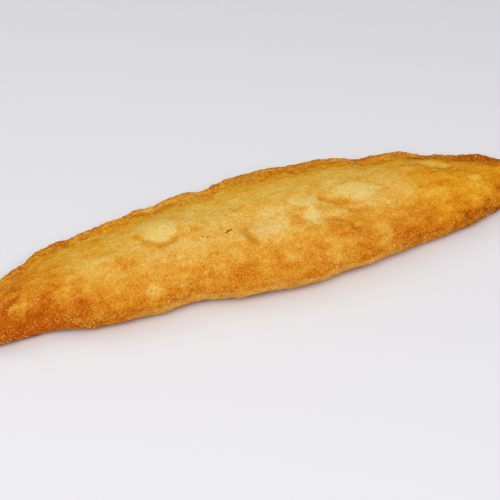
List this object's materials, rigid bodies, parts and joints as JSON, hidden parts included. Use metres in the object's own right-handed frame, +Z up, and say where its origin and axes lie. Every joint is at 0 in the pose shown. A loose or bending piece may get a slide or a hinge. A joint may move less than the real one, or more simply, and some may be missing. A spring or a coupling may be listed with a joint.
{
  "type": "langos",
  "caption": "Long folded and sealed piece of yeast dough, deep fried golden brown, with a rounded fold, a thin pressed seam and a blistered skin; rests on its flat underside.",
  "frame": {"origin": "centre of the footprint at the bottom, on the surface that the langos rests on", "axes": "+X along its length towards the right tip, +Y from the rounded fold to the pressed seam, +Z up"},
  "size_m": [0.3314, 0.0938, 0.0279],
  "materials": {
    "fried_dough": "fried crust, golden on top and orange-brown along the edges, satin from the oil"
  },
  "bodies": {
    "root": {"langos": "fried_dough"}
  },
  "joints": []
}
